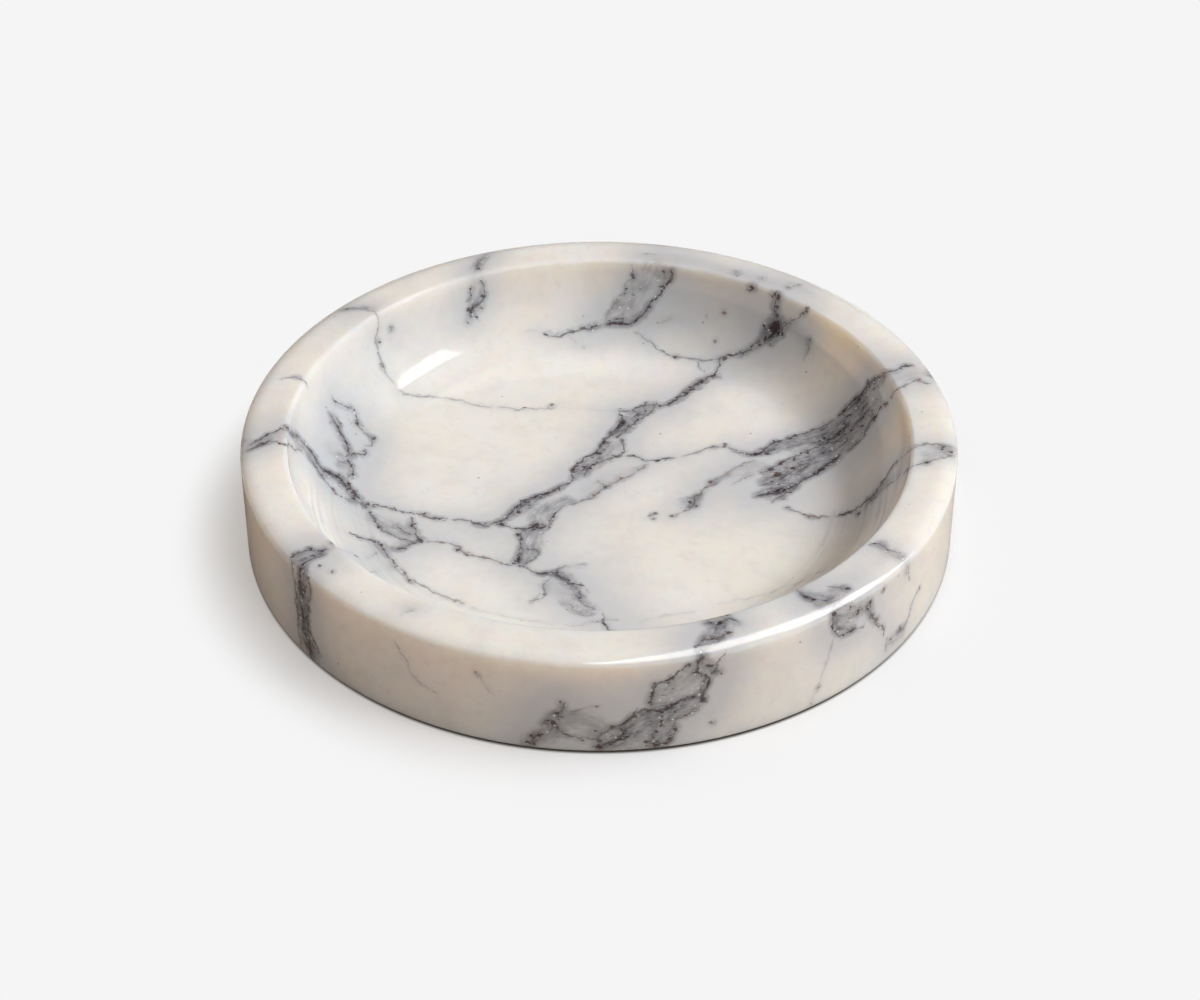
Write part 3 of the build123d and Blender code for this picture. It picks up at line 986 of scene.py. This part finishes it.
# Dark grains: how large they are, how strongly veins and bands draw them, and how many come out
GRAIN_SIZE = 0.85
GRAIN_TURN = math.radians(-35)
GRAIN_STRETCH = (0.65, 1.3, 1.3)
BEAD_SIZE = 1.7
CHAIN_PULL = 0.26
CHAIN_CROWD = 0.3
CHAIN_LEVEL = (0.74, 0.82)
CHAIN_CORE = (0.04, 0.25)
BEAD_PULL = 0.28
BEAD_LEVEL = (0.80, 0.88)
BEAD_CORE = (0.02, 0.12)
CLOT_JAGS = 0.5
CLOT_LUMPS = 1.2
CLOT_EDGE = (-0.18, 0.13)
LOOSE_IN_BAND = 0.14
LOOSE_IN_HAZE = 0.08
LOOSE_CROWD = 0.4
LOOSE_LEVEL = (0.78, 0.84)
LOOSE_HOME = (0.25, 0.6)
HAZE_HOME = 0.8

# Turning marks in the bowl's sweep: how close they lie, and the ring and the side where they show
RING_SIZE = 1.0
RINGS_PER_MM = 1.1
RING_DRIFT = 0.03
RING_INNER = (38.0, 45.0)
RING_OUTER = (53.0, 56.0)
RING_SIDE = (-10.0, 5.0)
RING_GREY = 1.3

# Painted glow: the bowl's shaded wall at the back right is painted warmer, standing in for light that
# shines through the rim into its shade
HONEY_SIDE = (28.0, 48.0)
HONEY_UP = (8.0, 17.0)
HONEY_INNER = (45.0, 52.0)
HONEY_OUTER = (55.2, 56.2)
HONEY_EAST = 0.8
HONEY_NORTH = 0.6
HONEY_SHARE = 0.5

# Cream ground: wide lumps, duller mottle and small dapple
LUMP_SIZE = 20.0
LUMP_LEVEL = (0.36, 0.68)
MOTTLE_SIZE = 7.0
MOTTLE_LEVEL = (0.44, 0.70)
MOTTLE_SHARE = 0.34
DAPPLE_SIZE = 1.8
DAPPLE_LEVEL = (0.52, 0.74)
DAPPLE_SHARE = 0.28

# Bright crystals in the grey, and single golden flecks
SPARKLE_SIZE = 0.75
SPARKLE_EDGE = (0.2, 0.36)
SPARKLE_FEW = (0.84, 0.87)
SPARKLE_GREY = (0.15, 0.4)
SPARKLE_SHARE = 0.7
FLECK_SIZE = 1.7
FLECK_EDGE = (0.07, 0.2)
FLECK_FEW = (0.980, 0.984)
FLECK_SHARE = 0.6

# At which greys the stone turns from one colour to the next, and how strongly lines and grains show
FINE_SIZE = 2.2
HALO_FINE = 0.5
HALO_LEAST = 0.75
RUST_LEAST = 0.5
HALO_LEVEL = (0.0, 0.95)
SMOKE_LEVEL = (0.02, 0.6)
BLUE_LEVEL = (0.5, 1.0)
DARK_LEVEL = (0.95, 1.25)
RUSTY_LEVEL = (0.2, 0.75)
THREAD_LEVEL = (0.2, 0.85)
THREAD_SHARE = 0.45
GRAIN_SHARE = 0.72
GRAIN_SHARE_IN_BAND = 0.2

# Polish
POLISH = 0.05
GRAIN_DULLNESS = 0.2
FINE_DULLNESS = 0.02
RIPPLE_SIZE = 6.0
RIPPLE_HEIGHT = 0.04 * MM


def vein_lines(stone, place, shift):
    """The veins' dark middles and the haze beside them."""
    pinch = PINCH_MOST - stone.noise(place, PINCH_SIZE, roughness=0.6) * PINCH_SWING
    pinch = stone.most(pinch, PINCH_LEAST)
    cores = []
    hazes = []
    for number in range(VEIN_SETS // PER_STORE):
        offsets = stone.parts(stone.kept(f"vein_offset_{number}"))
        powers = stone.parts(stone.kept(f"vein_power_{number}"))
        for offset, power in zip(offsets, powers):
            gap = abs(offset + shift)
            cores.append(stone.fade(gap * pinch, 0.0, LINE_WIDTH) * power)
            hazes.append(stone.fade(gap, 0.0, HAZE_WIDTH) * power)
    return stone.most(*cores), stone.most(*hazes)


def dark_grains(stone, place, crystal, crowd, core, haze, body, past_clot):
    """Grains in chains and beads along the veins, in clots, and loose in the bands. Then the clots."""
    turned = {"Vector": place, "Rotation": (0.0, 0.0, GRAIN_TURN), "Scale": GRAIN_STRETCH}
    speck = stone.noise(stone.node("Mapping", values=turned), GRAIN_SIZE, detail=1.0)
    bead = stone.noise(place, BEAD_SIZE, roughness=0.55)
    chain = stone.rise(speck + core * CHAIN_PULL + crowd * CHAIN_CROWD, *CHAIN_LEVEL)
    chain = chain * stone.rise(core, *CHAIN_CORE)
    beads = stone.rise(bead + core * BEAD_PULL, *BEAD_LEVEL) * stone.rise(core, *BEAD_CORE)
    ragged = (crystal - MIDDLE) * CLOT_JAGS + (speck - MIDDLE) * CLOT_LUMPS
    clots = stone.fade(past_clot + ragged, *CLOT_EDGE)
    loose = speck + body * LOOSE_IN_BAND + haze * LOOSE_IN_HAZE + crowd * LOOSE_CROWD
    home = stone.rise(stone.most(haze * HAZE_HOME, body), *LOOSE_HOME)
    loose = stone.rise(loose, *LOOSE_LEVEL) * home
    return stone.most(chain, beads, clots, loose), clots


def turning_marks(stone, radius, north, up):
    """Faint rings left by the turning, in the front of the bowl's sweep."""
    ring_place = stone.joined(radius * RINGS_PER_MM, up * RINGS_PER_MM, north * RING_DRIFT)
    rings = stone.swing(ring_place, RING_SIZE, detail=3.0, roughness=0.6)
    rings = rings * stone.rise(radius, *RING_INNER) * stone.fade(radius, *RING_OUTER)
    return rings * stone.fade(north, *RING_SIDE)


def painted_glow_wall(stone, radius, east, north, up):
    """Where a warm glow is painted on the bowl's shaded wall, standing in for light that shines through
    the rim.
    """
    facing = stone.rise(east * HONEY_EAST + north * HONEY_NORTH, *HONEY_SIDE)
    wall = stone.rise(radius, *HONEY_INNER) * stone.fade(radius, *HONEY_OUTER)
    return facing * stone.rise(up, *HONEY_UP) * wall


def cream_ground(stone, place):
    """The stone's colour where it has no vein: cream with duller clouds."""
    lumps = stone.noise(place, LUMP_SIZE)
    mottle = stone.noise(place, MOTTLE_SIZE, detail=4.0, roughness=0.62)
    dapple = stone.noise(place, DAPPLE_SIZE, roughness=0.6)
    colour = stone.mix(stone.rise(lumps, *LUMP_LEVEL), CREAM, WARM_CREAM)
    colour = stone.mix(stone.rise(mottle, *MOTTLE_LEVEL) * MOTTLE_SHARE, colour, DULL_CREAM)
    return stone.mix(stone.rise(dapple, *DAPPLE_LEVEL) * DAPPLE_SHARE, colour, DULL_CREAM)


def marble():
    """Polished cream marble with grey bands, dark broken veins and small bright crystals."""
    stone = Finish("marble")
    place = stone.place()
    grey_depth, halo, rust = stone.parts(stone.kept("cloud"))
    along, across, edge = stone.parts(stone.kept("band"))
    past_clot, clot_rust, _ = stone.parts(stone.kept("clots"))

    wander = stone.swing(place, WANDER_SIZE, detail=5.0, roughness=0.62) * WANDER
    _, small_crystal = stone.cells(place, SMALL_CRYSTAL)
    _, large_crystal = stone.cells(place, LARGE_CRYSTAL)
    jog = (small_crystal[0] - MIDDLE) * SMALL_JOG
    shift = wander + jog + (large_crystal[0] - MIDDLE) * LARGE_JOG
    core, haze = vein_lines(stone, place, shift)

    # How grey the stone is, from the bands' soft bodies and the veins
    streak_place = stone.joined(along * STREAK_ALONG, across * STREAK_ACROSS, wander * STREAK_BEND)
    streaks = stone.swing(streak_place, STREAK_SIZE, detail=3.0, roughness=0.65)
    body = stone.fade(edge + shift * BODY_STRAY, *BODY_EDGE) * grey_depth
    crowd = stone.swing(place, CROWD_SIZE)
    smudge = stone.fade(past_clot, 0.0, SMUDGE_REACH)
    clear = 1 - haze * (body * HAZE_GREY_IN_BAND + HAZE_GREY)
    clear = clear * (1 - core * CORE_GREY) * (1 - body * BODY_GREY) * (1 - smudge * SMUDGE_GREY)
    grey = 1 - clear
    uneven = streaks * body * STREAK_GREY + crowd * CROWD_GREY
    grey = grey + uneven * stone.rise(grey, *UNEVEN_GREY)
    grains, clots = dark_grains(stone, place, small_crystal[1], crowd, core, haze, body, past_clot)

    east, north, up = stone.parts(place)
    radius = stone.maths("SQRT", east * east + north * north)
    rings = turning_marks(stone, radius, north, up)
    painted_glow = painted_glow_wall(stone, radius, east, north, up)

    fine = stone.noise(place, FINE_SIZE, detail=3.0, roughness=0.6)
    sparkle_seed, sparkle_random = stone.cells(place, SPARKLE_SIZE)
    sparkle = stone.fade(sparkle_seed, *SPARKLE_EDGE) * stone.rise(sparkle_random[2], *SPARKLE_FEW)
    fleck_seed, fleck_random = stone.cells(place, FLECK_SIZE)
    flecks = stone.fade(fleck_seed, *FLECK_EDGE) * stone.rise(fleck_random[1], *FLECK_FEW)

    # The colours, one laid over the other
    # Painted glow on the shaded back right wall of the bowl, laid first
    colour = stone.mix(painted_glow * HONEY_SHARE, cream_ground(stone, place), PAINTED_GLOW_HONEY)
    colour = stone.mix(stone.rise(halo * (fine * HALO_FINE + HALO_LEAST), *HALO_LEVEL), colour, COOL_WHITE)
    colour = stone.mix(stone.rise(grey + rings * RING_GREY, *SMOKE_LEVEL), colour, SMOKE)
    colour = stone.mix(stone.rise(grey, *BLUE_LEVEL), colour, BLUE_GREY)
    colour = stone.mix(stone.rise(grey, *DARK_LEVEL), colour, DARK_GREY)
    colour = stone.mix(sparkle * stone.rise(grey, *SPARKLE_GREY) * SPARKLE_SHARE, colour, CRYSTAL)
    colour = stone.mix(flecks * FLECK_SHARE, colour, GOLDEN)
    rusty = stone.most(rust * (1 - clots), clot_rust * clots)
    grain_colour = stone.mix(stone.rise(rusty * (fine + RUST_LEAST), *RUSTY_LEVEL), VEIN_BROWN, RUST)
    colour = stone.mix(stone.rise(core, *THREAD_LEVEL) * THREAD_SHARE, colour, grain_colour)
    colour = stone.mix(grains * (body * GRAIN_SHARE_IN_BAND + GRAIN_SHARE), colour, grain_colour)

    ripple = stone.noise(place, RIPPLE_SIZE)
    bump = stone.node("Bump", values={"Strength": 0.15, "Distance": RIPPLE_HEIGHT, "Height": ripple})
    stone.coat({
        "Base Color": colour,
        "Roughness": POLISH + grains * GRAIN_DULLNESS + fine * FINE_DULLNESS,
        "Normal": bump,
        "IOR": 1.6,
        "Subsurface Weight": 0.85,
        "Subsurface Radius": (1.0, 0.68, 0.44),
        "Subsurface Scale": 0.0065,
    })
    return stone.material


# The pads' rubber
RUBBER_DARK = (0.030, 0.029, 0.028, 1)
RUBBER_DUSTY = (0.085, 0.082, 0.078, 1)
PORE_SIZE = 0.5
FIBRE_SIZE = 2.0
PORE_SHARE = 0.6
DUSTY_LEVEL = (0.35, 0.65)
RUBBER_DULLNESS = 0.82
PORE_DULLNESS = 0.12
PORE_DEPTH = 0.1 * MM


def pad_rubber():
    """Matt dark felted rubber for the pads."""
    pad = Finish("pad_rubber")
    place = pad.place()
    pores = pad.noise(place, PORE_SIZE, detail=3.0, roughness=0.6)
    fibre = pad.noise(place, FIBRE_SIZE)
    dusty = pad.rise(pores * PORE_SHARE + fibre * (1 - PORE_SHARE), *DUSTY_LEVEL)
    pad.coat({
        "Base Color": pad.mix(dusty, RUBBER_DARK, RUBBER_DUSTY),
        "Roughness": RUBBER_DULLNESS + pores * PORE_DULLNESS,
        "Normal": pad.node("Bump", values={"Strength": 0.5, "Distance": PORE_DEPTH, "Height": pores}),
    })
    return pad.material


make_camera()
dish = make_dish()
dish.data.materials.append(marble())
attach(dish, "root")
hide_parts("dish")
rubber = pad_rubber()
for name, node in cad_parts.items():
    if name.startswith("pad"):
        node.data.materials.clear()
        node.data.materials.append(rubber)

# Floor: a sheet of paper that the camera sees, and one below it that sends light back up.
# Past the dish's shadow the seen paper turns into an even tone, as backgrounds are cleaned for a
# shop. The glows are the light that the sheets send out by themselves.
PAPER_TONE = (0.62, 0.62, 0.62, 1)
SHADOW_GLOW = (0.30, 0.295, 0.29, 1)
EVEN_GLOW = (0.913, 0.913, 0.913, 1)
BLACK = (0, 0, 0, 1)
# Painted contact shade: the dark tone the paper glows with under the stone
PAINTED_CONTACT_SHADE_GLOW = (0.045, 0.038, 0.033, 1)
BOUNCE_TONE = (0.555, 0.492, 0.432, 1)
PAPER_DULLNESS = 0.9

# Millimetres from the dish's middle: under the stone's edge the paper is painted dark as contact shade,
# then comes its shadow
PAINTED_CONTACT_SHADE = (62.8, 63.6)
SHADOW = (64.0, 78.0)

# The sheets and the far wall, in metres
PAPER_REACH = 3
UNDER_PAPER_HEIGHT = -0.0002
WALL_RADIUS = 5.0
WALL_HEIGHT = 12.0
WALL_PARTS = 96


def sheet_of_paper(name, height, material):
    """A level square sheet."""
    form = bmesh.new()
    bmesh.ops.create_grid(form, x_segments=1, y_segments=1, size=PAPER_REACH)
    bmesh.ops.translate(form, vec=(0, 0, height), verts=form.verts)
    sheet = make_object(name, form)
    sheet.data.materials.append(material)
    return sheet


def hide_from_light(piece):
    """The camera sees the piece, but no light is stopped or sent back by it."""
    piece.visible_diffuse = False
    piece.visible_glossy = False
    piece.visible_transmission = False
    piece.visible_shadow = False


def seen_paper():
    """Pale paper, painted dark under the stone as contact shade, even past the shadow."""
    paper = Finish("paper")
    flat = paper.node("VectorMath", {"operation": "MULTIPLY"}, {0: paper.place(), 1: (1, 1, 0)})
    reach = paper.node("VectorMath", {"operation": "LENGTH"}, {0: flat}, output="Value")
    even = paper.rise(reach, *SHADOW)
    # Painted contact shade under the stone's edge
    painted_contact_shade = paper.fade(reach, *PAINTED_CONTACT_SHADE)
    tone = paper.mix(even, PAPER_TONE, BLACK)
    glow = paper.mix(even, SHADOW_GLOW, EVEN_GLOW)
    paper.coat({
        "Base Color": paper.mix(painted_contact_shade, tone, BLACK),
        "Roughness": PAPER_DULLNESS,
        "Specular IOR Level": 0.0,
        "Emission Color": paper.mix(painted_contact_shade, glow, PAINTED_CONTACT_SHADE_GLOW),
        "Emission Strength": 1.0,
    })
    return paper.material


def bounce_paper():
    """Warm paper that sends light back up at the dish."""
    paper = Finish("bounce_paper")
    paper.coat({"Base Color": BOUNCE_TONE, "Roughness": PAPER_DULLNESS})
    return paper.material


def pale_wall():
    """A wall far off, all round, in the even tone, for when the camera looks along the floor."""
    pale = Finish("far_wall")
    pale.coat({
        "Base Color": BLACK,
        "Specular IOR Level": 0.0,
        "Emission Color": EVEN_GLOW,
        "Emission Strength": 1.0,
    })
    form = bmesh.new()
    bmesh.ops.create_cone(
        form, segments=WALL_PARTS, radius1=WALL_RADIUS, radius2=WALL_RADIUS, depth=WALL_HEIGHT,
    )
    wall = make_object("far_wall", form)
    wall.data.materials.append(pale.material)
    return wall


hide_from_light(sheet_of_paper("floor", 0, seen_paper()))
under_paper = sheet_of_paper("under_paper", UNDER_PAPER_HEIGHT, bounce_paper())
under_paper.visible_camera = False
hide_from_light(pale_wall())

# Studio light. Windows light the stone but don't shine in its polish: azimuth, elevation,
# width and height in degrees, then brightness
SOFTBOX_DISTANCE = 4.0
DAYLIGHT = (0.98, 1.0, 1.035)
LAMPLIGHT = (1.11, 0.985, 0.90)
WHITE = (1, 1, 1)
WINDOWS = {
    "window": (0, 42, 40, 18, 9.9),
    "window_side": (-40, 42, 40, 18, 4.7),
    "window_low": (-40, 24, 40, 16, 0.6),
    "left_top": (180, 55, 60, 36, 1.25),
    "back": (80, 40, 70, 45, 0.5),
    "front": (-80, 50, 50, 30, 0.4),
}
LIGHT_TONES = {"window": DAYLIGHT, "window_side": DAYLIGHT, "left_top": LAMPLIGHT}
# Two panels are only seen in the polish: a pane mirrored in the bowl's back sweep, which
# leans and turns, and a strip over the front right edge
PANE = (20.2, 55.2, 22.9, 21.4, 4.15)
PANE_LEAN = math.radians(-59.6)
PANE_SPIN = math.radians(-42)
PANE_TURN = Matrix.Rotation(PANE_LEAN, 3, "X") @ Matrix.Rotation(PANE_SPIN, 3, "Z")
STRIP_PLACE = Vector((0.037, -0.0485, 0.032))
STRIP_SIZE = (0.090, 0.007)
STRIP_BRIGHTNESS = 5.0
STRIP_TURN = math.radians(28)


def softbox(name, size, brightness):
    """A rectangular light of a size and brightness."""
    data = bpy.data.lights.new(name, "AREA")
    data.shape = "RECTANGLE"
    data.size, data.size_y = size
    data.energy = math.pi * size[0] * size[1] * brightness
    light = bpy.data.objects.new(name, data)
    bpy.context.scene.collection.objects.link(light)
    return light


def far_softbox(name, azimuth, elevation, width, height, brightness, turn=Matrix.Identity(3)):
    """A softbox far out that faces the dish, or is turned away from it a little."""
    size = [2 * SOFTBOX_DISTANCE * math.tan(math.radians(angle / 2)) for angle in (width, height)]
    light = softbox(name, size, brightness)
    bearing = math.radians(azimuth)
    lift = math.radians(elevation)
    towards = Vector((
        math.cos(bearing) * math.cos(lift),
        math.sin(bearing) * math.cos(lift),
        math.sin(lift),
    ))
    light.location = towards * SOFTBOX_DISTANCE
    facing = towards.to_track_quat("Z", "Y").to_matrix() @ turn
    light.rotation_euler = facing.to_euler()
    return light


for name, window in WINDOWS.items():
    light = far_softbox(name, *window)
    light.visible_glossy = False
    light.data.color = LIGHT_TONES.get(name, WHITE)
pane = far_softbox("pane", *PANE, turn=PANE_TURN)
strip = softbox("edge_strip", STRIP_SIZE, STRIP_BRIGHTNESS)
strip.location = STRIP_PLACE
strip.rotation_euler = (0, 0, STRIP_TURN)
for mirrored in (pane, strip):
    mirrored.visible_diffuse = False
    mirrored.visible_camera = False

studio = bpy.data.worlds.new("studio")
studio.use_nodes = True
studio.node_tree.nodes["Background"].inputs["Strength"].default_value = 0.0
bpy.context.scene.world = studio
bpy.context.scene.view_settings.view_transform = "Standard"
